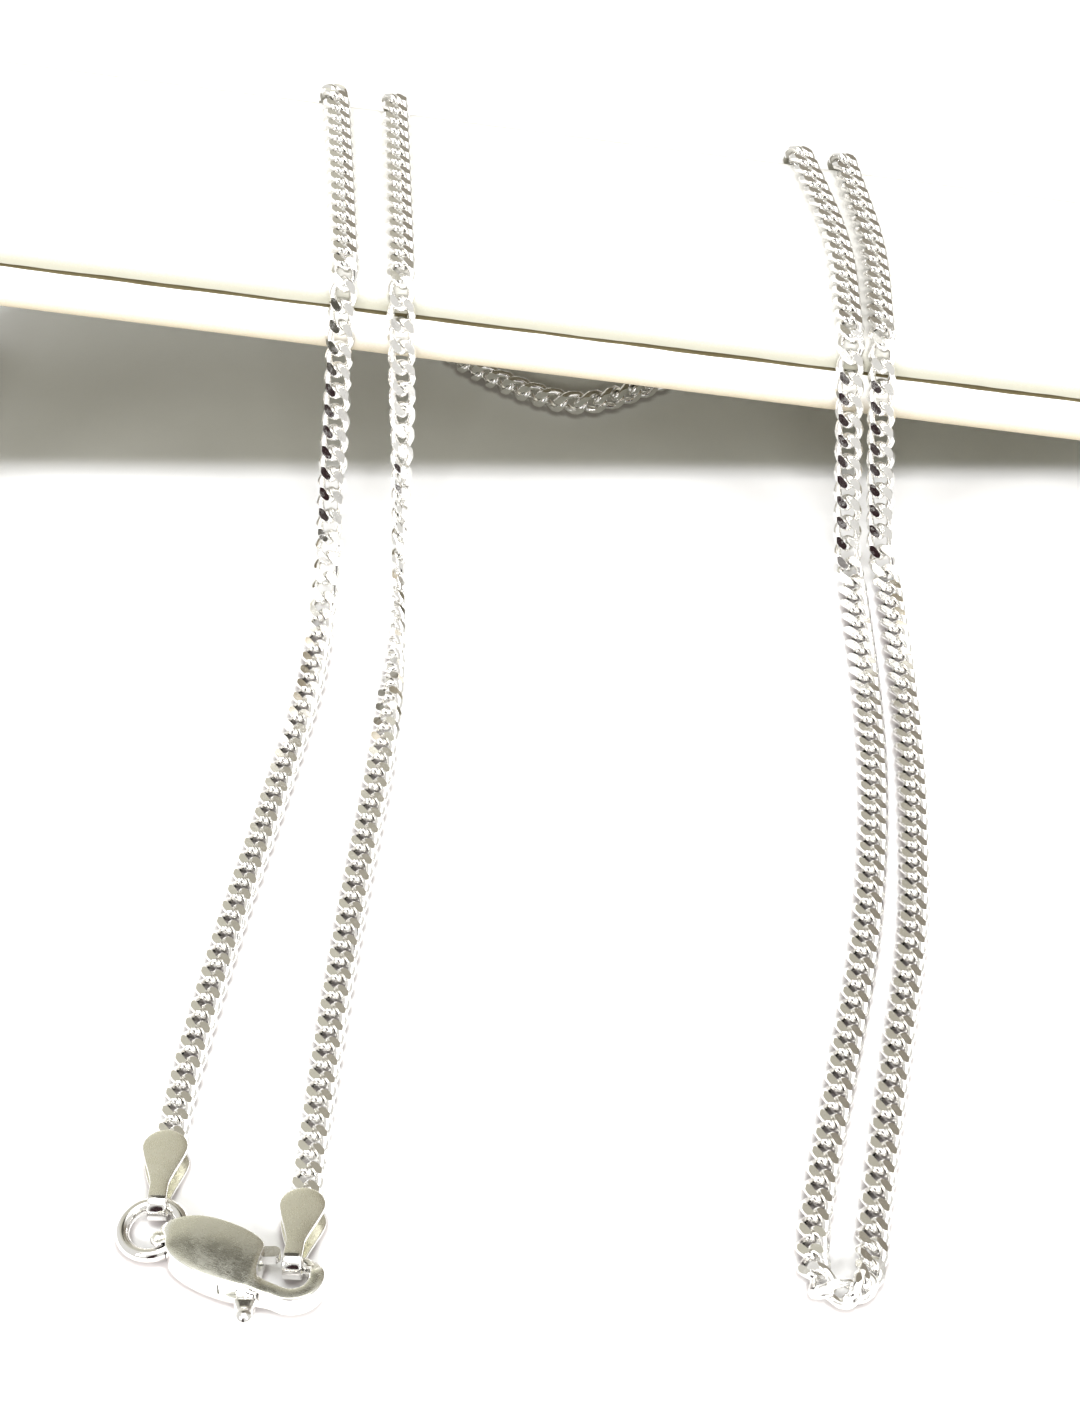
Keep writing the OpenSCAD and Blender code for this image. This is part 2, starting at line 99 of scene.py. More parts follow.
# A smooth curve through the points, whose slopes are scaled by the lengths of the spans
def denseRoute(route):
    rows = np.array(route["rows"], float)
    spots, looks = [], []
    last = len(rows) - 1
    for i in range(last):
        before, here, there, after = rows[max(i - 1, 0)], rows[i], rows[i + 1], rows[min(i + 2, last)]
        span = np.linalg.norm(there[:3] - here[:3])
        back = max(np.linalg.norm(here[:3] - before[:3]), 1e-6)
        ahead = max(np.linalg.norm(after[:3] - there[:3]), 1e-6)
        leave = (there[:3] - before[:3]) / (back + span) * span if i else there[:3] - here[:3]
        arrive = (after[:3] - here[:3]) / (span + ahead) * span if i < last - 1 else there[:3] - here[:3]
        for k in range(route["stepsPerSpan"]):
            t = k / route["stepsPerSpan"]
            spots.append((2 * t ** 3 - 3 * t ** 2 + 1) * here[:3] + (t ** 3 - 2 * t ** 2 + t) * leave
                         + (3 * t ** 2 - 2 * t ** 3) * there[:3] + (t ** 3 - t ** 2) * arrive)
            looks.append((1 - t) * here[3:] / np.linalg.norm(here[3:])
                         + t * there[3:] / np.linalg.norm(there[3:]))
    spots.append(rows[-1, :3])
    looks.append(rows[-1, 3:] / np.linalg.norm(rows[-1, 3:]))
    return np.array(spots), np.array(looks)


# One link, a flattened and twisted ring whose faces are ground flat, and the two lengths of chain.
# The rise leans each link's face a little upwards.
linkSettings = {
    "halfLength": 0.001075, "halfWidth": 0.00075, "wire": 0.0006, "twist": math.radians(50),
    "around": 32, "sides": 12, "flat": 0.000495, "roofTilt": math.radians(5),
    "sideTilt": math.radians(62), "sideReach": 0.00093, "pitch": 0.00155, "handed": -1, "rise": 0.07,
}


def linkMesh(s):
    shape = bmesh.new()
    rings = []
    for i in range(s["around"]):
        a = 2 * math.pi * i / s["around"]
        centre, ahead = linkPoint(s, a), linkPoint(s, a + 0.01)
        along = (ahead - centre).normalized()
        outward = (centre - along * centre.dot(along)).normalized()
        up = along.cross(outward)
        ring = []
        for k in range(s["sides"]):
            b = 2 * math.pi * k / s["sides"]
            ring.append(shape.verts.new(centre + (outward * math.cos(b) + up * math.sin(b)) * s["wire"] / 2))
        rings.append(ring)
    for i in range(s["around"]):
        here, there = rings[i], rings[(i + 1) % s["around"]]
        for k in range(s["sides"]):
            j = (k + 1) % s["sides"]
            shape.faces.new((here[k], here[j], there[j], there[k]))
    bmesh.ops.recalc_face_normals(shape, faces=shape.faces)
    for face in shape.faces:
        face.smooth = True
    quarters = [(across, up) for across in (1, -1) for up in (1, -1)]
    for across, up in quarters:
        roof = Vector((0, across * math.sin(s["roofTilt"]), up * math.cos(s["roofTilt"])))
        grind(shape, Vector((0, 0, up * s["flat"])), roof)
    for across, up in quarters:
        lean = Vector((0, across * math.sin(s["sideTilt"]), up * math.cos(s["sideTilt"])))
        grind(shape, lean * s["sideReach"], lean)
    mesh = bpy.data.meshes.new("link")
    shape.to_mesh(mesh)
    shape.free()
    return mesh


def linkPoint(s, a):
    turn = s["handed"] * s["twist"] * math.cos(a)
    return Vector((s["halfLength"] * math.cos(a), s["halfWidth"] * math.sin(a) * math.cos(turn),
                   s["halfWidth"] * math.sin(a) * math.sin(turn)))


# Cuts away what lies beyond a plane and closes the cut with one flat, sharp-edged face
def grind(shape, point, normal):
    parts = shape.verts[:] + shape.edges[:] + shape.faces[:]
    made = bmesh.ops.bisect_plane(shape, geom=parts, dist=1e-8, plane_co=point, plane_no=normal,
                                  clear_outer=True)
    rim = [e for e in made["geom_cut"] if isinstance(e, bmesh.types.BMEdge)]
    filled = bmesh.ops.edgeloop_fill(shape, edges=rim)
    for e in rim:
        e.smooth = False
    for face in filled["faces"]:
        face.smooth = False
        face.normal_update()
        if face.normal.dot(normal) < 0:
            face.normal_flip()


def readInts(items, what, each):
    values = np.empty(len(items) * each, np.int64)
    items.foreach_get(what, values)
    return values


# One mesh of many copies, with the base's sharp edges and flat faces
def repeatMesh(name, base, places):
    count = len(places)
    verts = np.empty(len(base.vertices) * 3)
    base.vertices.foreach_get("co", verts)
    verts = verts.reshape(-1, 3)
    edges = readInts(base.edges, "vertices", 2)
    corners = readInts(base.loops, "vertex_index", 1)
    cornerEdges = readInts(base.loops, "edge_index", 1)
    starts = readInts(base.polygons, "loop_start", 1)
    sharp = np.array([e.use_edge_sharp for e in base.edges])
    soft = np.array([p.use_smooth for p in base.polygons])
    moved = np.concatenate([verts @ turn.T + spot for spot, turn in places])

    def shifted(values, step):
        return (values[None] + (np.arange(count) * step)[:, None]).ravel().astype(np.int32)

    mesh = bpy.data.meshes.new(name)
    mesh.vertices.add(len(moved))
    mesh.vertices.foreach_set("co", moved.ravel())
    mesh.edges.add(len(base.edges) * count)
    mesh.edges.foreach_set("vertices", shifted(edges, len(verts)))
    mesh.loops.add(len(corners) * count)
    mesh.loops.foreach_set("vertex_index", shifted(corners, len(verts)))
    mesh.loops.foreach_set("edge_index", shifted(cornerEdges, len(base.edges)))
    mesh.polygons.add(len(starts) * count)
    mesh.polygons.foreach_set("loop_start", shifted(starts, len(corners)))
    mesh.polygons.foreach_set("use_smooth", np.tile(soft, count))
    mesh.edges.foreach_set("use_edge_sharp", np.tile(sharp, count))
    mesh.update()
    mesh.validate()
    made = bpy.data.objects.new(name, mesh)
    scene.collection.objects.link(made)
    return made


def chainPlaces(route, s):
    spots, looks = denseRoute(route)
    gone = np.concatenate([[0], np.cumsum(np.linalg.norm(np.diff(spots, axis=0), axis=1))])
    total = gone[-1]
    count = round(total / s["pitch"])
    pitch = total / count
    lastOuter = (route["outerRows"] - 1) * route["stepsPerSpan"]
    split = (gone[lastOuter] + gone[lastOuter + route["stepsPerSpan"]]) / 2

    def at(values, where):
        return np.array([np.interp(where, gone, values[:, k]) for k in range(3)])

    outer, inner = [], []
    for i in range(count):
        where = (i + 0.5) * pitch
        along = at(spots, where + pitch / 2) - at(spots, where - pitch / 2)
        along /= np.linalg.norm(along)
        face = at(looks, where)
        face -= along * face.dot(along)
        face /= np.linalg.norm(face)
        face += s["rise"] * np.array([0, 0, 1])
        face /= np.linalg.norm(face)
        along -= face * face.dot(along)
        along /= np.linalg.norm(along)
        across = np.cross(face, along)
        middle = (at(spots, where) + at(spots, where + pitch / 2) / 2 + at(spots, where - pitch / 2) / 2) / 2
        (outer if where < split else inner).append((middle, np.stack([along, across, face], axis=1)))
    say("chain of %d links, %.1f mm, pitch %.4f mm" % (count, total * 1000, pitch * 1000))
    return outer, inner


link = linkMesh(linkSettings)
outerPlaces, innerPlaces = chainPlaces(chainRoute, linkSettings)
chainOuterLinks = repeatMesh("chainOuterLinks", link, outerPlaces)
chainInnerLinks = repeatMesh("chainInnerLinks", link, innerPlaces)
say("links: %d faces each" % len(link.polygons))


def meshObject(name, shape):
    bmesh.ops.recalc_face_normals(shape, faces=shape.faces)
    if shape.calc_volume(signed=True) < 0:
        bmesh.ops.reverse_faces(shape, faces=shape.faces)
    mesh = bpy.data.meshes.new(name)
    shape.to_mesh(mesh)
    shape.free()
    made = bpy.data.objects.new(name, mesh)
    scene.collection.objects.link(made)
    return made


# Swept pieces are built in millimetres and placed in metres
millimetres = Matrix.Scale(0.001, 4)


def sweepMesh(name, rings, place):
    shape = bmesh.new()
    rows = [[shape.verts.new(place @ Vector(p)) for p in ring] for ring in rings]
    count = len(rows[0])
    for here, there in zip(rows, rows[1:]):
        for k in range(count):
            j = (k + 1) % count
            shape.faces.new((here[k], here[j], there[j], there[k]))
    shape.faces.new(rows[0][::-1])
    shape.faces.new(rows[-1])
    return meshObject(name, shape)


def spoke(turn):
    return Vector((math.cos(turn), math.sin(turn)))


def throughPoints(points, steps):
    rows = [Vector(p) for p in points]
    last = len(rows) - 1
    out = []
    for i in range(last):
        p, q, r, s = rows[max(i - 1, 0)], rows[i], rows[i + 1], rows[min(i + 2, last)]
        for k in range(steps):
            t = k / steps
            bend = (2 * p - 5 * q + 4 * r - s) * t * t + (3 * q - p - 3 * r + s) * t ** 3
            out.append(0.5 * (2 * q + (r - p) * t + bend))
    out.append(rows[last])
    return out


# The clasp's casting in its own frame, in millimetres. Stations run from the tail to the hook: inner u, v,
# outer u, v, underside, crest, inner edge, outer edge, inner rounding, outer rounding.
claspSettings = {
    "at": (-0.0189, -0.053, 0), "turn": math.radians(-27),
    "hook": (4.95, 0.6), "inner": 1.0, "outer": 1.92,
    "body": [
        (-3.94, 0.66, -3.9, 0.44, 0.75, 1.3, 1.24, 1.24, 0.25, 0.25),
        (-3.78, 0.86, -3.68, 0.2, 0.45, 1.64, 1.58, 1.58, 0.25, 0.25),
        (-3.48, 1.04, -3.36, -0.02, 0.15, 1.92, 1.86, 1.86, 0.2, 0.2),
        (-3.15, 1.24, -2.93, -0.4, 0.02, 2.1, 2.05, 2.04, 0.16, 0.16),
        (-2.75, 1.5, -2.5, -1.02, 0, 2.18, 2.13, 2.11, 0.12, 0.12),
        (-2.0, 1.92, -1.75, -1.47, 0, 2.24, 2.18, 2.08, 0.12, 0.12),
        (-1.0, 2.18, -0.8, -1.7, 0, 2.27, 2.2, 2.07, 0.12, 0.12),
        (0.2, 2.28, 0.2, -1.8, 0, 2.27, 2.2, 2.06, 0.12, 0.12),
        (1.1, 2.24, 1.2, -1.77, 0, 2.25, 2.18, 2.06, 0.12, 0.12),
        (2.0, 2.06, 2.1, -1.66, 0, 2.21, 2.15, 2.05, 0.12, 0.12),
        (2.48, 1.72, 2.8, -1.54, 0.04, 2.16, 2.1, 2.07, 0.13, 0.12),
        (2.64, 1.18, 3.3, -1.46, 0.15, 2.1, 2.05, 2.02, 0.16, 0.12),
        (2.66, 0.62, 3.7, -1.41, 0.25, 2.05, 2.0, 1.98, 0.2, 0.12),
        (2.84, 0.08, 4.05, -1.37, 0.35, 2.01, 1.95, 1.95, 0.2, 0.12),
        (3.2, -0.28, 4.35, -1.33, 0.4, 1.98, 1.92, 1.93, 0.2, 0.12),
        (3.75, -0.4, 4.65, -1.29, 0.4, 1.97, 1.9, 1.92, 0.16, 0.12),
    ],
    "steps": 6, "foot": 0.3, "mostBend": 0.49,
    "hookLow": 0.4, "hookCrest": 1.97, "hookEdge": 1.92, "hookInnerBend": 0.15, "hookOuterBend": 0.12,
    "rodFrom": 30, "rodOver": 52, "nearRound": 0.97,
    "armStations": (4.6, 4.3, 4.1), "armTip": 3.92, "armEnd": 0.42, "armTurn": 84, "armRound": 0.425,
    "armHigh": 1.175, "armAcross": 2.025,
}


# A cross-section between two points: a rounded foot, upright sides and a slightly domed top
def sectionRing(s, inner, outer, low, crest, innerTop, outerTop, innerBend, outerBend):
    inner, outer = Vector(inner), Vector(outer)
    wide = (outer - inner).length
    most = wide * s["mostBend"]
    innerBend = min(innerBend, most)
    outerBend = min(outerBend, most)
    foot = min(max(innerBend, outerBend, s["foot"]), most, (min(innerTop, outerTop) - low) * s["mostBend"])
    out = []

    def put(run, high):
        spot = inner + (outer - inner) * (run / wide)
        out.append((spot.x, spot.y, high))

    def top(run):
        t = run / wide
        return innerTop * (1 - t) + outerTop * t + 4 * (crest - (innerTop + outerTop) / 2) * t * (1 - t)

    for k in range(5):
        a = math.radians(90 - 90 * k / 4)
        put(foot - foot * math.cos(a), low + foot - foot * math.sin(a))
    for k in range(3):
        put(0, low + foot + (innerTop - innerBend - low - foot) * (k + 0.5) / 3)
    for k in range(6):
        a = math.radians(90 * k / 5)
        run = innerBend - innerBend * math.cos(a)
        put(run, top(run) - innerBend + innerBend * math.sin(a))
    for k in range(1, 12):
        run = innerBend + (wide - innerBend - outerBend) * k / 12
        put(run, top(run))
    for k in range(6):
        a = math.radians(90 - 90 * k / 5)
        run = wide - outerBend + outerBend * math.cos(a)
        put(run, top(run) - outerBend + outerBend * math.sin(a))
    for k in range(3):
        put(wide, outerTop - outerBend - (outerTop - outerBend - low - foot) * (k + 0.5) / 3)
    for k in range(5):
        a = math.radians(90 * k / 4)
        put(wide - foot + foot * math.cos(a), low + foot - foot * math.sin(a))
    return out


def armRing(s, u, reach):
    across, high, bend = s["armAcross"], s["armHigh"], reach * s["nearRound"]
    return sectionRing(s, (u, across - reach), (u, across + reach), high - reach, high + reach,
                       high + reach, high + reach, bend, bend)


# The body, then the hook, which turns from a flat section into a round rod, and the rod's blunt end
def castingRings(s):
    rings = []
    for row in throughPoints(s["body"], s["steps"]):
        rings.append(sectionRing(s, row[0:2], row[2:4], *row[4:]))
    middle, half, high = Vector(s["hook"]), s["armRound"], s["armHigh"]
    for degree in range(-90, 91, 6):
        way = spoke(math.radians(degree))
        rod = max(0, min(1, (degree - s["rodFrom"]) / s["rodOver"]))
        rod = rod * rod * (3 - 2 * rod)
        low = s["hookLow"] + (high - half - s["hookLow"]) * rod
        crest = s["hookCrest"] + (high + half - s["hookCrest"]) * rod
        edge = s["hookEdge"] + (high + half - s["hookEdge"]) * rod
        innerBend = s["hookInnerBend"] + (half * s["nearRound"] - s["hookInnerBend"]) * rod
        outerBend = s["hookOuterBend"] + (half * s["nearRound"] - s["hookOuterBend"]) * rod
        rings.append(sectionRing(s, middle + way * s["inner"], middle + way * s["outer"], low, crest,
                                 edge, edge, innerBend, outerBend))
    for u in s["armStations"]:
        rings.append(armRing(s, u, half))
    for k in range(1, 7):
        a = math.radians(s["armTurn"] * k / 6)
        rings.append(armRing(s, s["armTip"] - s["armEnd"] * math.sin(a), half * math.cos(a)))
    return rings


def placeOf(at, turn, tilt=0):
    turned = Matrix.Rotation(turn, 4, "Z") @ Matrix.Rotation(tilt, 4, "X")
    return Matrix.Translation(at) @ turned @ millimetres


claspPlace = placeOf(claspSettings["at"], claspSettings["turn"])
claspCasting = sweepMesh("claspCasting", castingRings(claspSettings), claspPlace)


def shapeWith(thing, cutter, how="DIFFERENCE"):
    step = thing.modifiers.new("shape", "BOOLEAN")
    step.operation = how
    step.solver = "EXACT"
    step.object = cutter
    graph = bpy.context.evaluated_depsgraph_get()
    mesh = bpy.data.meshes.new_from_object(thing.evaluated_get(graph))
    thing.modifiers.clear()
    thing.data = mesh
    bpy.data.objects.remove(cutter)


def prismShape(name, points, low, high):
    shape = bmesh.new()
    under = [shape.verts.new(claspPlace @ Vector((p[0], p[1], low))) for p in points]
    over = [shape.verts.new(claspPlace @ Vector((p[0], p[1], high))) for p in points]
    shape.faces.new(under[::-1])
    shape.faces.new(over)
    for k in range(len(points)):
        j = (k + 1) % len(points)
        shape.faces.new((under[k], under[j], over[j], over[k]))
    return meshObject(name, shape)


# Room inside the casting for the lever's plate as it turns
slotSettings = {
    "pivot": (1.1, 0.9), "boss": 0.86, "gate": (2.95, 1.945), "gateHalf": 0.48, "knob": (3.3, -1.85),
    "knobHalf": 0.53, "beyond": 0.5, "open": math.radians(25), "low": 0.79, "high": 1.56,
    "pocket": (-46, -116), "pocketReach": 2.6,
}


def sweptFan(s, end, half):
    pivot = Vector(s["pivot"])
    way = Vector(end) - pivot
    reach = way.length + s["beyond"]
    start = math.atan2(way.y, way.x)
    side = math.asin(half / way.length)
    angles = [start + side - (s["open"] + 2 * side) * k / 12 for k in range(13)]
    return [pivot] + [pivot + spoke(a) * reach for a in angles[::-1]]


def sector(s, span, reach):
    pivot = Vector(s["pivot"])
    turns = [math.radians(span[0] + (span[1] - span[0]) * k / 16) for k in range(17)]
    return [pivot] + [pivot + spoke(a) * reach for a in turns[::-1]]


def cutSlot(thing, s):
    around = [2 * math.pi * k / 40 for k in range(40)]
    boss = [Vector(s["pivot"]) + spoke(a) * s["boss"] for a in around]
    gate = sweptFan(s, s["gate"], s["gateHalf"])
    knob = sweptFan(s, s["knob"], s["knobHalf"])
    pocket = sector(s, s["pocket"], s["pocketReach"])
    for outline in (boss, gate, knob, pocket):
        shapeWith(thing, prismShape("slot", outline, s["low"], s["high"]))


# The tail curls into a bead, and the jump ring passes through it
tailSettings = {
    "bead": (-3.62, -0.12, 1.24), "beadSize": 0.47, "at": (-0.02265, -0.0503), "across": 0.0018,
    "wire": 0.000425, "room": 0.00017, "lean": math.radians(10.5), "leanTo": math.radians(45),
    "clear": 0.00002,
}


def beadShape(s):
    shape = bmesh.new()
    bmesh.ops.create_uvsphere(shape, u_segments=28, v_segments=18, radius=s["beadSize"])
    bmesh.ops.transform(shape, matrix=claspPlace @ Matrix.Translation(s["bead"]), verts=shape.verts)
    return meshObject("bead", shape)


def eyeCutter(s):
    bpy.ops.mesh.primitive_torus_add(major_radius=s["across"], minor_radius=s["wire"] + s["room"],
                                     major_segments=72, minor_segments=24)
    made = bpy.context.object
    high = s["wire"] + s["across"] * math.sin(s["lean"]) + s["clear"]
    turn = Matrix.Rotation(s["leanTo"], 4, "Z") @ Matrix.Rotation(-s["lean"], 4, "Y")
    made.matrix_world = Matrix.Translation((*s["at"], high)) @ turn
    bpy.context.view_layer.update()
    return made


shapeWith(claspCasting, beadShape(tailSettings), "UNION")
cutSlot(claspCasting, slotSettings)
shapeWith(claspCasting, eyeCutter(tailSettings))
say("clasp casting: %d faces" % len(claspCasting.data.polygons))


# The lever's web fills the casting's slot between the gate and the thumb knob while the hook is shut
webSettings = {
    "from": -50, "to": -88, "edge": -1.64, "inner": 2.56, "outFrom": -58, "low": 0.81, "high": 1.54,
}


def webOutline(s):
    pivot = Vector(slotSettings["pivot"])
    points = [pivot]
    for k in range(39):
        degree = s["to"] + (s["from"] - s["to"]) * k / 38
        turn = math.radians(degree)
        reach = (pivot.y - s["edge"]) / -math.sin(turn)
        if degree < s["outFrom"]:
            reach = min(reach, s["inner"])
        points.append(pivot + spoke(turn) * reach)
    return points


leverWeb = prismShape("leverWeb", webOutline(webSettings), webSettings["low"], webSettings["high"])

# The thumb knob: a flat-topped tab that ends in a ball. Each row of the tab is the way out from the root,
# the half width and the half height.
knobSettings = {
    "root": (3.3, -1.85, 1.175), "turn": math.radians(27), "ball": 0.58, "centre": 1.17, "around": 32,
    "ballFrom": -42, "ballOver": 131, "ballSquare": 2, "tabSquare": 4.5,
    "tab": [(0, 0.58, 0.38), (0.03, 0.64, 0.43), (0.1, 0.67, 0.46), (0.3, 0.63, 0.45), (0.5, 0.56, 0.43),
            (0.66, 0.49, 0.41)],
}


def knobRings(s):
    rings = []
    rows = [(out, half, high, s["tabSquare"]) for out, half, high in s["tab"]]
    for k in range(1, 15):
        a = math.radians(s["ballFrom"] + s["ballOver"] * k / 14)
        size = s["ball"] * math.cos(a)
        rows.append((s["centre"] + s["ball"] * math.sin(a), size, size, s["ballSquare"]))
    for out, half, high, square in rows:
        ring = []
        for k in range(s["around"]):
            a = 2 * math.pi * k / s["around"]
            c, d = math.cos(a), math.sin(a)
            x = half * math.copysign(abs(c) ** (2 / square), c)
            ring.append((x, -out, high * math.copysign(abs(d) ** (2 / square), d)))
        rings.append(ring)
    return rings


knobTurn = Matrix.Rotation(knobSettings["turn"], 4, "Z")
knobPlace = claspPlace @ Matrix.Translation(knobSettings["root"]) @ knobTurn
thumbKnob = sweepMesh("thumbKnob", knobRings(knobSettings), knobPlace)
say("lever's web and thumb knob")


# End caps: a strip folded round the ring or hook, whose two leaves close over the chain's end
capSettings = {
    "leaf": 5.3, "neck": 0.55, "wide": 1.35, "sheet": 0.3, "fold": 0.75, "crown": 0.05, "rim": 0.07,
    "mostRim": 0.45, "flareFrom": 1.06, "flareTo": 3.68, "straightFlare": 0.75, "leastTip": 0.0004,
    "shortTip": 0.0006,
    "left": {"at": (-0.02245, -0.0486257, 0.001005), "turn": math.radians(-2), "tilt": math.radians(-0.595)},
    "right": {"at": (-0.0142269, -0.053289, 0.001175), "turn": math.radians(-5),
              "tilt": math.radians(-2.433)},
}


# Half the strip's width: a narrow neck that flares out into a round-ended leaf
def capHalf(s, y):
    if y > s["flareTo"]:
        return math.sqrt(max(s["wide"] ** 2 - (y - s["leaf"] + s["wide"]) ** 2, s["leastTip"]))
    t = max(0, (y - s["flareFrom"]) / (s["flareTo"] - s["flareFrom"]))
    full = math.sqrt(s["wide"] ** 2 - (s["flareTo"] - s["leaf"] + s["wide"]) ** 2)
    flare = s["straightFlare"] * t + (1 - s["straightFlare"]) * t * t * (3 - 2 * t)
    return s["neck"] + (full - s["neck"]) * flare


def capRings(s):
    tip = s["leaf"] * (1 - s["shortTip"])
    leaf = [tip - s["wide"] * (1 - math.cos(math.radians(90 * k / 14))) for k in range(15)]
    leaf += [leaf[-1] * (1 - k / 16) for k in range(1, 16)]
    path = [(y, s["fold"], 0, 1, capHalf(s, y)) for y in leaf]
    for k in range(19):
        a = math.radians(90 + 180 * k / 18)
        path.append((s["fold"] * math.cos(a), s["fold"] * math.sin(a), math.cos(a), math.sin(a), s["neck"]))
    path += [(y, -s["fold"], 0, -1, capHalf(s, y)) for y in leaf[::-1]]
    rings = []
    for y, z, outY, outZ, half in path:
        rim = min(s["rim"], half * s["mostRim"])
        thick = s["sheet"] / 2
        profile = []
        for across, out, start in ((-1, -1, 180), (1, -1, 270), (1, 1, 0), (-1, 1, 90)):
            for k in range(4):
                corner = spoke(math.radians(start + 30 * k)) * rim
                profile.append((across * (half - rim) + corner.x, out * (thick - rim) + corner.y))
            if out > 0 and across > 0:
                for k in range(1, 8):
                    t = k / 8
                    lift = s["crown"] * 4 * t * (1 - t) * min(1, half)
                    profile.append(((half - rim) * (1 - 2 * t), thick + lift))
        rings.append([(p[0], y + outY * p[1], z + outZ * p[1]) for p in profile])
    return rings


def makeCap(name, s, side):
    own = s[side]
    return sweepMesh(name, capRings(s), placeOf(own["at"], own["turn"], own["tilt"]))


capLeft = makeCap("capLeft", capSettings, "left")
capRight = makeCap("capRight", capSettings, "right")
say("end caps")


# The board's two layers, in the board's own frame, with a slightly wavy open seam between them
boardSettings = {
    "middle": (0, 0.0325, 0.0167), "slope": math.radians(8.5), "halfLength": 50.5, "halfDepth": 13,
    "upper": 2.06, "lower": 3.5, "seam": 0.29, "stations": 240, "wave": 0.05,
    "waves": ((0.31, 1, 1), (0.83, 2, 0.6), (2.3, 1, 0.4)), "upperPhase": 4, "lowerPhase": 1,
    "upperBends": (1.9, 0.12), "lowerBends": (0.1, 0.6), "bendSteps": 8, "endSoft": 0.16, "endStep": 0.05,
}


# Each wave is how fast it turns in radians a millimetre, how far the phase shifts it, and its height
def wavy(s, x, phase):
    return sum(high * math.sin(x * often + phase * shift) for often, shift, high in s["waves"]) / 2


def layerRing(s, thick, bends, x, shrink, seamAbove):
    points = []
    half = s["halfDepth"]
    top, low = bends
    corners = ((-1, low, low, 270), (-1, top, thick - top, 180), (1, top, thick - top, 90), (1, low, low, 0))
    for side, bend, high, start in corners:
        for k in range(s["bendSteps"] + 1):
            a = math.radians(start - 90 * k / s["bendSteps"])
            y = side * (half - bend) + bend * math.cos(a)
            z = high + bend * math.sin(a)
            z = shrink + z * (thick - 2 * shrink) / thick
            y *= 1 - shrink / half
            nearSeam = z > thick / 2 if seamAbove else z < thick / 2
            if nearSeam:
                z += s["wave"] * wavy(s, x, s["lowerPhase"] if seamAbove else s["upperPhase"])
            points.append((x, y, z))
    return points


def boardLayer(name, s, thick, bends, base, seamAbove):
    soft, step = s["endSoft"], s["endStep"]
    ends = [(-s["halfLength"], soft), (-s["halfLength"] + step, step), (-s["halfLength"] + soft, 0)]
    spread = s["halfLength"] - soft
    inside = [(-spread + 2 * spread * k / s["stations"], 0) for k in range(1, s["stations"])]
    stations = ends + inside + [(-x, shrink) for x, shrink in ends[::-1]]
    rings = [layerRing(s, thick, bends, x, shrink, seamAbove) for x, shrink in stations]
    made = sweepMesh(name, rings, millimetres)
    turned = Matrix.Rotation(s["slope"], 4, "Y")
    made.matrix_world = Matrix.Translation(s["middle"]) @ turned @ Matrix.Translation((0, 0, base / 1000))
    return made


boardStack = boardSettings["upper"] + boardSettings["seam"] + boardSettings["lower"]
boardUpper = boardLayer("boardUpper", boardSettings, boardSettings["upper"], boardSettings["upperBends"],
                        boardStack / 2 - boardSettings["upper"], False)
boardLower = boardLayer("boardLower", boardSettings, boardSettings["lower"], boardSettings["lowerBends"],
                        -boardStack / 2, True)
say("board")


# Node groups that several materials share: each takes a place and some numbers, and puts out masks
def startGroup(name, numbers, outputs, placed=True):
    made = bpy.data.node_groups.new(name, "ShaderNodeTree")
    if placed:
        made.interface.new_socket("Place", in_out="INPUT", socket_type="NodeSocketVector")
    for label, value in numbers.items():
        made.interface.new_socket(label, in_out="INPUT", socket_type="NodeSocketFloat").default_value = value
    for label in outputs:
        made.interface.new_socket(label, in_out="OUTPUT", socket_type="NodeSocketFloat")
    return made, made.nodes.new("NodeGroupInput").outputs, made.nodes.new("NodeGroupOutput").inputs


def addNode(tree, kind, feeds, **options):
    made = tree.nodes.new(kind)
    for key, value in options.items():
        setattr(made, key, value)
    for key, value in feeds.items():
        if isinstance(value, bpy.types.NodeSocket):
            tree.links.new(value, made.inputs[key])
        else:
            made.inputs[key].default_value = value
    return made


def addMath(tree, operation, first, second=0.0, third=0.0):
    return addNode(tree, "ShaderNodeMath", {0: first, 1: second, 2: third}, operation=operation).outputs[0]


def addRange(tree, value, low, high, toLow=0.0, toHigh=1.0):
    feeds = {"Value": value, "From Min": low, "From Max": high, "To Min": toLow, "To Max": toHigh}
    return addNode(tree, "ShaderNodeMapRange", feeds, interpolation_type="SMOOTHSTEP").outputs["Result"]


def addNoise(tree, place, scale, detail=3.0, rough=0.5):
    feeds = {"Vector": place, "Scale": scale, "Detail": detail, "Roughness": rough}
    return addNode(tree, "ShaderNodeTexNoise", feeds).outputs["Fac"]


def addMix(tree, amount, first, second):
    made = addNode(tree, "ShaderNodeMix", {0: amount, 6: first, 7: second}, data_type="RGBA")
    return made.outputs[2]


def groupNode(tree, group, feeds):
    return addNode(tree, "ShaderNodeGroup", feeds, node_tree=group).outputs


def stretched(tree, place, turn, scale):
    turned = addNode(tree, "ShaderNodeVectorRotate", {"Vector": place, "Angle": turn}, rotation_type="Z_AXIS")
    made = addNode(tree, "ShaderNodeVectorMath", {0: turned.outputs[0], 1: scale}, operation="MULTIPLY")
    return made.outputs[0]


# Soft patches where the surface was handled, in patches about Size millimetres across
def buildSmudges():
    made, given, gives = startGroup("smudges", {"Size": 1.0}, ["Mask"])
    scale = addMath(made, "DIVIDE", 1.0, given["Size"])
    noise = addNoise(made, given["Place"], scale, 4.0, 0.6)
    made.links.new(addRange(made, noise, 0.38, 0.66), gives["Mask"])
    return made


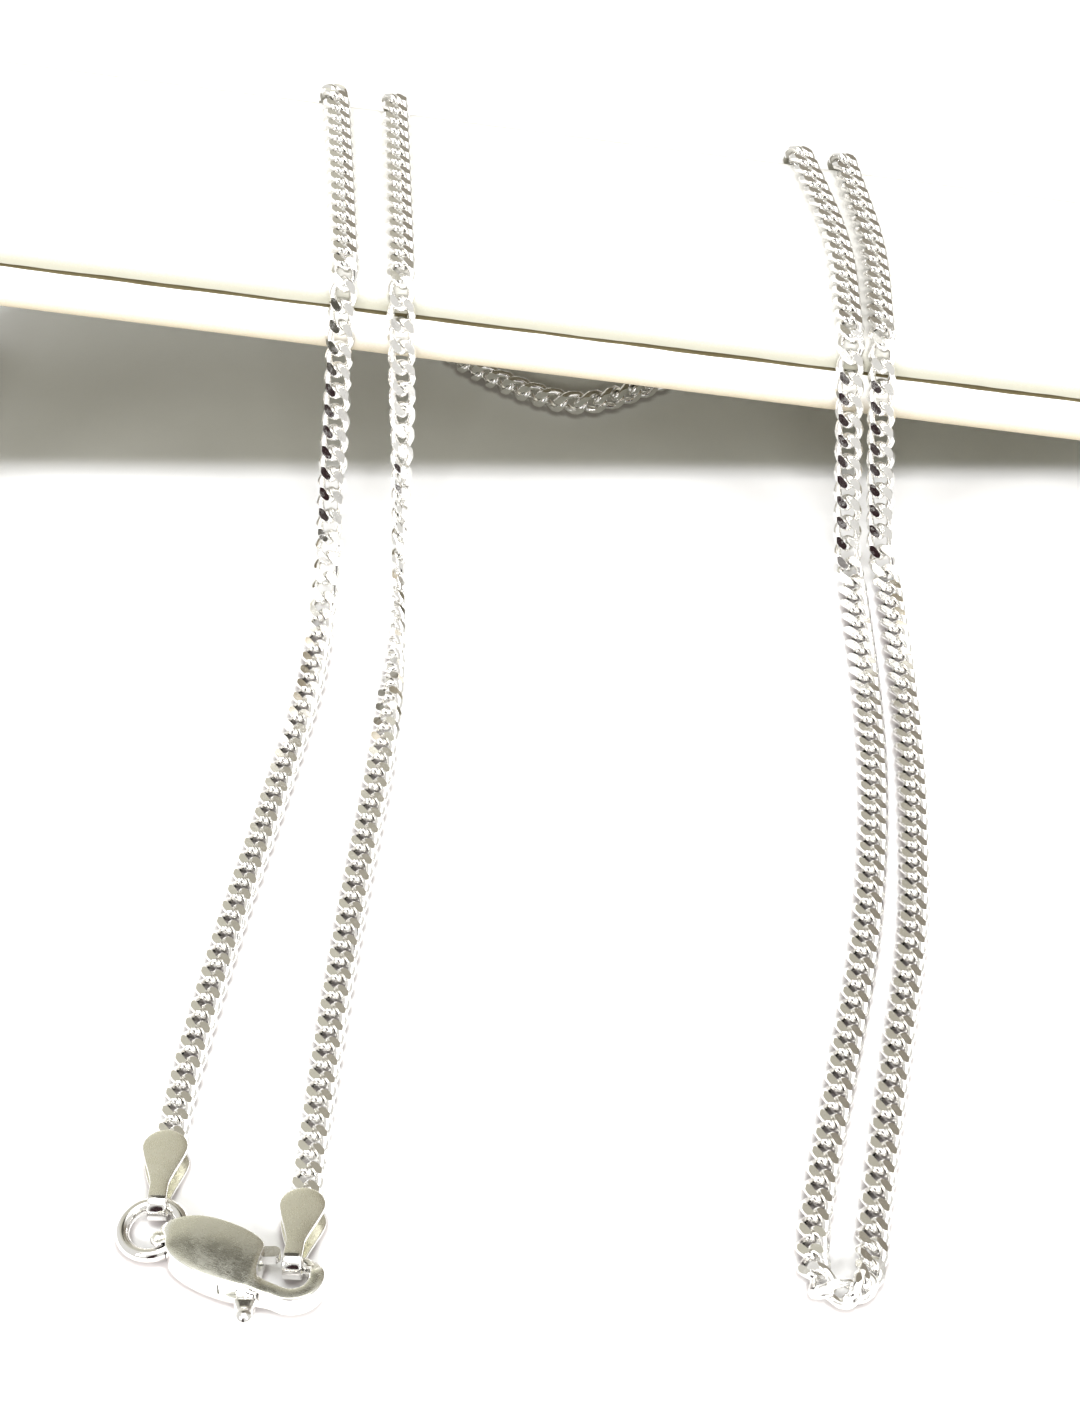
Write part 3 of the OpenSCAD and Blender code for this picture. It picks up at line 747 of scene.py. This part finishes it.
# Thin scratches in two directions, each only here and there
def buildHairlines():
    made, given, gives = startGroup("hairlines", {"Turn": 0.0, "Fine": 1.0}, ["Mask"])
    scale = addMath(made, "MULTIPLY", given["Fine"], 1.6)
    total = None
    for turn, across in ((0.3, 6.0), (-1.1, 5.0)):
        way = addMath(made, "ADD", given["Turn"], turn)
        spot = stretched(made, given["Place"], way, (0.12, across, 2.0))
        noise = addNoise(made, spot, scale, 1.0)
        off = addMath(made, "ABSOLUTE", addMath(made, "SUBTRACT", noise, 0.5))
        line = addRange(made, off, 0.012, 0.0)
        total = line if total is None else addMath(made, "MAXIMUM", total, line)
    where = addRange(made, addNoise(made, given["Place"], given["Fine"], 2.0), 0.47, 0.6)
    made.links.new(addMath(made, "MULTIPLY", total, where), gives["Mask"])
    return made


# Brushed grain along one direction, in streaks about Width millimetres wide
def buildBrushed():
    made, given, gives = startGroup("brushed", {"Turn": 0.0, "Width": 0.05}, ["Grain", "Bands"])
    fine = addMath(made, "DIVIDE", 0.12, given["Width"])
    spot = stretched(made, given["Place"], given["Turn"], (1.0, 9.0, 9.0))
    made.links.new(addNoise(made, spot, fine, 5.0, 0.65), gives["Grain"])
    broad = addNoise(made, stretched(made, given["Place"], given["Turn"], (0.25, 1.5, 1.0)), 1.0, 3.0)
    made.links.new(addRange(made, broad, 0.35, 0.65), gives["Bands"])
    return made


# Rubbed edges and dull hollows, from how the surface bends
def buildEdges():
    made, given, gives = startGroup("edges", {"Reach": 0.05}, ["Edge", "Hollow"], placed=False)
    bend = made.nodes.new("ShaderNodeNewGeometry").outputs["Pointiness"]
    high = addMath(made, "ADD", given["Reach"], 0.51)
    low = addMath(made, "SUBTRACT", 0.49, given["Reach"])
    made.links.new(addRange(made, bend, 0.51, high), gives["Edge"])
    made.links.new(addRange(made, bend, 0.49, low), gives["Hollow"])
    return made


# Felted fibre of paper and card, in fibres about Size millimetres long
def buildFibre():
    made, given, gives = startGroup("fibre", {"Size": 1.0}, ["Fibre", "Flecks"])
    scale = addMath(made, "DIVIDE", 1.0, given["Size"])
    along = addNoise(made, stretched(made, given["Place"], 0.4, (1.0, 5.0, 5.0)), scale, 4.0, 0.7)
    across = addNoise(made, stretched(made, given["Place"], -1.0, (1.0, 5.0, 5.0)), scale, 4.0, 0.7)
    made.links.new(addMath(made, "MAXIMUM", along, across), gives["Fibre"])
    dense = addMath(made, "MULTIPLY", scale, 6.0)
    made.links.new(addRange(made, addNoise(made, given["Place"], dense, 2.0), 0.62, 0.72), gives["Flecks"])
    return made


smudges = buildSmudges()
hairlines = buildHairlines()
brushed = buildBrushed()
edges = buildEdges()
fibre = buildFibre()


# A material whose effects are placed in millimetres
def startMaterial(name):
    made = bpy.data.materials.new(name)
    made.use_nodes = True
    tree = made.node_tree
    where = addNode(tree, "ShaderNodeTexCoord", {}).outputs["Object"]
    feeds = {0: where, 1: (1000, 1000, 1000)}
    place = addNode(tree, "ShaderNodeVectorMath", feeds, operation="MULTIPLY").outputs[0]
    return made, tree, place, tree.nodes["Principled BSDF"].inputs


# Metals: tone, its dulled tone, the tone in hollows, roughness from and to, and how much of each effect shows
metalCommon = {
    "rubbed": (0.97, 0.965, 0.95), "rubbedAmount": 0.5, "streaks": 0.3, "grainDull": 0.2, "grainRough": 0.05,
    "grainWidth": 0.05, "scratchFine": 1.4, "scratchRough": 0.12, "bump": 0.000006,
}
bright = {"hollowAmount": 0.6, "smudge": 0.5, "grain": 0.0, "reach": 0.1,
          "tone": (0.95, 0.94, 0.92), "dull": (0.88, 0.86, 0.83)}
satin = {"hollowAmount": 0.5, "smudge": 0.2, "reach": 0.1, "hollow": (0.5, 0.46, 0.4), "rough": (0.24, 0.31)}
metalSettings = {
    "chainSilver": {"tone": (0.93, 0.92, 0.9), "dull": (0.84, 0.82, 0.78), "hollow": (0.42, 0.34, 0.26),
                    "hollowAmount": 0.15, "rough": (0.09, 0.15), "size": 1.1, "smudge": 0.3, "turn": 0.0,
                    "grain": 0.0, "scratch": 0.5, "reach": 0.08},
    "polishedSilver": {**bright, "hollow": (0.6, 0.52, 0.44), "rough": (0.06, 0.13), "size": 0.8,
                       "turn": 0.5, "scratch": 0.2},
    "leverSilver": {**bright, "hollow": (0.5, 0.4, 0.3), "rough": (0.14, 0.24), "size": 0.5,
                    "turn": 0.2, "scratch": 0.5},
    "satinSilver": {**satin, "tone": (0.91, 0.91, 0.82), "dull": (0.82, 0.81, 0.73), "size": 1.8,
                    "turn": math.radians(27), "grain": 0.3, "scratch": 0.2},
    "satinStrip": {**satin, "tone": (0.97, 0.96, 0.85), "dull": (0.9, 0.88, 0.78), "size": 1.2,
                   "turn": math.radians(-86), "grain": 0.25, "scratch": 0.25},
}


def metalMaterial(name, s):
    made, tree, place, shade = startMaterial(name)
    smudge = groupNode(tree, smudges, {"Place": place, "Size": s["size"]})["Mask"]
    lines = groupNode(tree, hairlines, {"Place": place, "Turn": s["turn"], "Fine": s["scratchFine"]})["Mask"]
    rubbed = groupNode(tree, edges, {"Reach": s["reach"]})
    grain = groupNode(tree, brushed, {"Place": place, "Turn": s["turn"], "Width": s["grainWidth"]})
    dulled = addMath(tree, "MULTIPLY", smudge, s["smudge"])
    if s["grain"]:
        streaks = addMath(tree, "MULTIPLY", grain["Bands"], s["streaks"] * s["grain"])
        dulled = addMath(tree, "ADD", dulled, streaks)
        fine = addRange(tree, grain["Grain"], 0.35, 0.65, -s["grainDull"], s["grainDull"])
        dulled = addMath(tree, "ADD", dulled, fine)
    tone = addMix(tree, dulled, (*s["tone"], 1), (*s["dull"], 1))
    hollow = addMath(tree, "MULTIPLY", rubbed["Hollow"], s["hollowAmount"])
    tone = addMix(tree, hollow, tone, (*s["hollow"], 1))
    edge = addMath(tree, "MULTIPLY", rubbed["Edge"], s["rubbedAmount"])
    tree.links.new(addMix(tree, edge, tone, (*s["rubbed"], 1)), shade["Base Color"])
    rough = addRange(tree, smudge, 0.0, 1.0, s["rough"][0], s["rough"][1])
    if s["grain"]:
        uneven = addRange(tree, grain["Grain"], 0.3, 0.7, -s["grainRough"], s["grainRough"])
        rough = addMath(tree, "ADD", rough, uneven)
    rough = addMath(tree, "ADD", rough, addMath(tree, "MULTIPLY", lines, s["scratchRough"]))
    tree.links.new(rough, shade["Roughness"])
    shade["Metallic"].default_value = 1
    height = addMath(tree, "MULTIPLY", lines, -s["scratch"])
    if s["grain"]:
        height = addMath(tree, "ADD", height, addMath(tree, "MULTIPLY", grain["Grain"], s["grain"]))
    bump = addNode(tree, "ShaderNodeBump", {"Height": height, "Strength": 0.5, "Distance": s["bump"]})
    tree.links.new(bump.outputs["Normal"], shade["Normal"])
    return made


metals = {name: metalMaterial(name, {**metalCommon, **s}) for name, s in metalSettings.items()}

# Paper: a painted shade strip makes each layer darker towards its lower edge, up to its height in
# millimetres. The
# # contact tone is a painted shade round what touches the paper, with its reach in metres.
paperCommon = {
    "soil": 0.4, "fleck": 0.5, "ragged": 0.9, "stripFade": 0.1, "open": 0.95, "touching": 0.5,
    "smoother": 0.08, "rougher": 0.1, "relief": 0.6,
}
white = {"tone": (0.88, 0.87, 0.84), "shadow": (0.8, 0.79, 0.75), "rough": 0.75}
paperSettings = {
    # Each strip tone is painted shade: on the boards towards the seam and the lower edge, on the feet along
    # their bottoms
    "upperPaper": {**white, "strip": (0.33, 0.32, 0.26), "height": 2.6, "size": 0.5, "bump": 0.00003},
    "lowerPaper": {**white, "strip": (0.37, 0.325, 0.24), "height": 2.4, "size": 0.4, "bump": 0.00004},
    "footPaper": {"tone": (0.86, 0.85, 0.82), "shadow": (0.78, 0.77, 0.73), "strip": (0.7, 0.66, 0.56),
                  "height": 0.4, "size": 0.6, "rough": 0.78, "bump": 0.00003},
    "seamCard": {"tone": (0.2, 0.17, 0.09), "shadow": (0.13, 0.1, 0.05), "size": 0.3, "rough": 0.85,
                 "bump": 0.00005},
    "floorPaper": {"tone": (0.88, 0.88, 0.88), "shadow": (0.84, 0.84, 0.83), "size": 1.2, "rough": 0.7,
                   "bump": 0.00001, "contactShade": {"reach": 0.00055, "tone": (0.47, 0.44, 0.435)}},
}


def paperMaterial(name, s):
    made, tree, place, shade = startMaterial(name)
    felt = groupNode(tree, fibre, {"Place": place, "Size": s["size"]})
    smudge = groupNode(tree, smudges, {"Place": place, "Size": s["size"] * 9})["Mask"]
    soiled = addMath(tree, "MULTIPLY", smudge, s["soil"])
    flecked = addMath(tree, "MULTIPLY", felt["Flecks"], s["fleck"])
    shadow = addMath(tree, "ADD", soiled, flecked)
    tone = addMix(tree, shadow, (*s["tone"], 1), (*s["shadow"], 1))
    # Painted shade: a darker strip towards the lower edge, standing in for the shade on the rounded edge
    if "strip" in s:
        high = addNode(tree, "ShaderNodeSeparateXYZ", {0: place}).outputs["Z"]
        ragged = addMath(tree, "MULTIPLY", addMath(tree, "SUBTRACT", felt["Fibre"], 0.55), s["ragged"])
        shadeStripMask = addRange(tree, addMath(tree, "ADD", high, ragged), s["height"], s["height"] * s["stripFade"])
        tone = addMix(tree, shadeStripMask, tone, (*s["strip"], 1))
    # Painted shade: the floor's colour darkens where ambient occlusion finds something close above it
    if "contactShade" in s:
        feeds = {"Distance": s["contactShade"]["reach"]}
        openness = addNode(tree, "ShaderNodeAmbientOcclusion", feeds).outputs["AO"]
        touch = addRange(tree, openness, s["open"], s["touching"])
        tone = addMix(tree, touch, tone, (*s["contactShade"]["tone"], 1))
    tree.links.new(tone, shade["Base Color"])
    rough = addRange(tree, felt["Fibre"], 0.3, 0.8, s["rough"] - s["smoother"], s["rough"] + s["rougher"])
    tree.links.new(rough, shade["Roughness"])
    feeds = {"Height": felt["Fibre"], "Strength": s["relief"], "Distance": s["bump"]}
    bump = addNode(tree, "ShaderNodeBump", feeds)
    tree.links.new(bump.outputs["Normal"], shade["Normal"])
    return made


papers = {name: paperMaterial(name, {**paperCommon, **s}) for name, s in paperSettings.items()}
say("materials")


def dress(thing, material):
    thing.data.materials.clear()
    thing.data.materials.append(material)


# Smooth shading that keeps the edges sharper than this
sharpFrom = math.radians(38)


def soften(thing):
    for face in thing.data.polygons:
        face.use_smooth = True
    thing.data.set_sharp_from_angle(angle=sharpFrom)


def dressTwo(thing, first, second, choose):
    dress(thing, first)
    thing.data.materials.append(second)
    for face in thing.data.polygons:
        face.material_index = 0 if choose(face) else 1
    soften(thing)


def settle(piece, body, node):
    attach(piece, body)
    if node:
        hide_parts(node)


# Where the satin finish ends on the clasp, in the clasp's own millimetres, and on the caps, in metres
satinSettings = {
    "slope": 0.8, "beadSlope": 0.3, "beadTop": 1.72, "beadTo": -3.2, "armAcross": 1.55, "armFrom": 3.4,
    "leafSlope": 0.93, "topFrom": 0.0001, "underFrom": 0.0003,
}
claspBack = claspPlace.inverted()


def satinTop(face):
    s = satinSettings
    spot = claspBack @ face.center
    arm = spot.y > s["armAcross"] and spot.x > s["armFrom"]
    bead = spot.z < s["beadTop"] and spot.x < s["beadTo"]
    return face.normal.z > (s["beadSlope"] if bead else s["slope"]) and not arm


def leafFace(side):
    s = satinSettings

    def choose(face):
        along = face.center.y - capSettings[side]["at"][1]
        top = along > s["topFrom"] and face.normal.z > s["leafSlope"]
        under = along > s["underFrom"] and face.normal.z < -s["leafSlope"]
        return top or under

    return choose


# The faces along the seam are nearly level, and bare card shows there
seamSlope = 0.95

dressTwo(claspCasting, metals["satinSilver"], metals["polishedSilver"], satinTop)
settle(claspCasting, "root", "clasp_body")
dress(leverWeb, metals["leverSilver"])
settle(leverWeb, "lever", None)
dress(thumbKnob, metals["leverSilver"])
soften(thumbKnob)
settle(thumbKnob, "lever", None)
for piece, node, side in ((capLeft, "end_cap_left", "left"), (capRight, "end_cap_right", "right")):
    dressTwo(piece, metals["satinStrip"], metals["polishedSilver"], leafFace(side))
    settle(piece, "root", node)
for piece, node in ((chainOuterLinks, "chain_outer"), (chainInnerLinks, "chain_inner")):
    dress(piece, metals["chainSilver"])
    settle(piece, "root", node)
dressTwo(boardUpper, papers["upperPaper"], papers["seamCard"], lambda face: face.normal.z > -seamSlope)
dressTwo(boardLower, papers["lowerPaper"], papers["seamCard"], lambda face: face.normal.z < seamSlope)
settle(boardUpper, "root", "board_upper")
settle(boardLower, "root", "board_lower")
for node, material in (("jump_ring", metals["polishedSilver"]), ("clasp_pin", metals["polishedSilver"]),
                       ("clasp_lever", metals["leverSilver"]), ("foot_left", papers["footPaper"]),
                       ("foot_right", papers["footPaper"])):
    dress(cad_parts[node], material)
say("pieces dressed")

# Floor
floorSettings = {"size": 1.2, "middle": (0, 0.1, 0)}
bpy.ops.mesh.primitive_plane_add(size=floorSettings["size"], location=floorSettings["middle"])
floor = bpy.context.object
floor.name = "floor"
dress(floor, papers["floorPaper"])

# Sheets before and behind the board, which only dim the light that reaches the floor under it. Foot and head
# are how far back the sheet's lower and upper edges stand, and high is how high it reaches, at each end.
flagSettings = {
    "clearTo": 0.0008, "fullFrom": 0.0018, "half": 0.0485,
    "front": {"left": {"foot": 0.0259, "head": 0.0259, "high": 0.0208, "tone": (0.27, 0.27, 0.24)},
              "right": {"foot": 0.0248, "head": 0.0248, "high": 0.0068, "tone": (0.165, 0.168, 0.143)}},
    "rear": {"left": {"foot": 0.056, "head": 0.0456, "high": 0.0208, "tone": (0.24, 0.24, 0.215)},
             "right": {"foot": 0.056, "head": 0.0456, "high": 0.0068, "tone": (0.19, 0.19, 0.167)}},
}


# A material with one shader alone, for the stage
def bareMaterial(name):
    made = bpy.data.materials.new(name)
    made.use_nodes = True
    made.node_tree.nodes.clear()
    return made, made.node_tree


def showShader(tree, shader):
    tree.links.new(shader.outputs[0], tree.nodes.new("ShaderNodeOutputMaterial").inputs["Surface"])


def makeSheet(name, spots):
    shape = bmesh.new()
    shape.faces.new([shape.verts.new(spot) for spot in spots])
    return meshObject(name, shape)


def makeFlag(s, place):
    left, right = s[place]["left"], s[place]["right"]
    made, tree = bareMaterial(place + "Flag")
    where = addNode(tree, "ShaderNodeTexCoord", {}).outputs["Object"]
    apart = addNode(tree, "ShaderNodeSeparateXYZ", {0: where}).outputs
    across = addRange(tree, apart["X"], -s["half"], s["half"])
    dim = addMix(tree, across, (*left["tone"], 1), (*right["tone"], 1))
    up = addRange(tree, apart["Z"], s["clearTo"], s["fullFrom"])
    shade = addMix(tree, up, (1, 1, 1, 1), dim)
    showShader(tree, addNode(tree, "ShaderNodeBsdfTransparent", {"Color": shade}))
    flag = makeSheet(place + "Flag", [
        (-s["half"], left["foot"], s["clearTo"]), (s["half"], right["foot"], s["clearTo"]),
        (s["half"], right["head"], right["high"]), (-s["half"], left["head"], left["high"])])
    flag.visible_camera = False
    flag.visible_glossy = False
    dress(flag, made)


makeFlag(flagSettings, "front")
makeFlag(flagSettings, "rear")


# A dark card over the clasp, seen only in the metal: the near half of the satin body mirrors it
cardSettings = {"depth": -0.033, "left": -0.031, "right": -0.011, "low": 0.0245, "high": 0.08,
                "tone": (0.1, 0.093, 0.075)}


def makeCard(s):
    made, tree = bareMaterial("card")
    showShader(tree, addNode(tree, "ShaderNodeEmission", {"Color": (*s["tone"], 1)}))
    corners = [(s["left"], s["low"]), (s["right"], s["low"]), (s["right"], s["high"]), (s["left"], s["high"])]
    card = makeSheet("card", [(x, s["depth"], z) for x, z in corners])
    card.visible_camera = False
    card.visible_diffuse = False
    card.visible_shadow = False
    dress(card, made)


makeCard(cardSettings)


# Two wide soft lights stand left and right of the camera, and a low fill that the metal doesn't mirror
lightSettings = {
    "softLeft": {"place": (-0.84, -0.84, 0.9), "size": (0.4, 0.4), "power": 7, "mirrored": True},
    "softRight": {"place": (0.84, -0.84, 0.9), "size": (0.4, 0.4), "power": 7, "mirrored": True},
    "fill": {"place": (0, -1.1, 0.6), "size": (0.6, 0.2), "power": 21, "mirrored": False},
}
lightTarget = (0, 0, 0.01)


def areaLight(name, s):
    lamp = bpy.data.lights.new(name, "AREA")
    lamp.shape = "RECTANGLE"
    lamp.size, lamp.size_y = s["size"]
    lamp.energy = s["power"]
    holder = bpy.data.objects.new(name, lamp)
    holder.location = s["place"]
    holder.rotation_euler = (Vector(lightTarget) - Vector(s["place"])).to_track_quat("-Z", "Y").to_euler()
    holder.visible_glossy = s["mirrored"]
    scene.collection.objects.link(holder)


for name, s in lightSettings.items():
    areaLight(name, s)

# The room: pale all round, a bright ceiling, a dimmer far wall and a dark patch where the viewer stands.
# A patch is full up to one angle from its middle and gone at another, in degrees, and may be narrowed.
roomSettings = {
    "base": (0.78, 0.77, 0.74),
    "patches": [
        {"towards": (0, 0.77, 0.63), "narrow": 1, "full": 24, "gone": 46, "tone": (0.58, 0.56, 0.47)},
        {"towards": (0, 0.99, 0.14), "narrow": 1, "full": 10, "gone": 32, "tone": (0.84, 0.82, 0.7)},
        {"towards": (0.5, 0.7, 0.5), "narrow": 1, "full": 14, "gone": 40, "tone": (0.28, 0.25, 0.2)},
        {"towards": (0, -0.12, 0.99), "narrow": 1, "full": 16, "gone": 30, "tone": (2.8, 2.8, 2.8)},
        {"towards": (-0.105, -0.97, 0.21), "narrow": 3, "full": 26, "gone": 36,
         "tone": (0.035, 0.018, 0.02)},
    ],
}


def roomLight(s):
    made = bpy.data.worlds.new("room")
    made.use_nodes = True
    tree = made.node_tree
    way = addNode(tree, "ShaderNodeTexCoord", {}).outputs["Generated"]
    tone = (*s["base"], 1)
    for patch in s["patches"]:
        narrow = Vector((patch["narrow"], 1, 1))
        squeezed = addNode(tree, "ShaderNodeVectorMath", {0: way, 1: narrow}, operation="MULTIPLY").outputs[0]
        unit = addNode(tree, "ShaderNodeVectorMath", {0: squeezed}, operation="NORMALIZE").outputs[0]
        middle = (Vector(patch["towards"]) * narrow).normalized()
        near = addNode(tree, "ShaderNodeVectorMath", {0: unit, 1: middle}, operation="DOT_PRODUCT")
        gone, full = math.cos(math.radians(patch["gone"])), math.cos(math.radians(patch["full"]))
        shown = addRange(tree, near.outputs["Value"], gone, full)
        tone = addMix(tree, shown, tone, (*patch["tone"], 1))
    tree.links.new(tone, tree.nodes["Background"].inputs["Color"])
    return made


scene.world = roomLight(roomSettings)
scene.view_settings.view_transform = "Standard"

# The camera looks towards the board and down by so many degrees
cameraSettings = {"place": (0, -0.1845, 0.1505), "down": 39.3, "lens": 87.24, "sensor": 36, "near": 0.01}
lens = bpy.data.cameras.new("camera")
lens.sensor_width = cameraSettings["sensor"]
lens.lens = cameraSettings["lens"]
lens.clip_start = cameraSettings["near"]
camera = bpy.data.objects.new("camera", lens)
camera.location = cameraSettings["place"]
camera.rotation_euler = (math.radians(90 - cameraSettings["down"]), 0, 0)
scene.collection.objects.link(camera)
scene.camera = camera
say("camera and light")
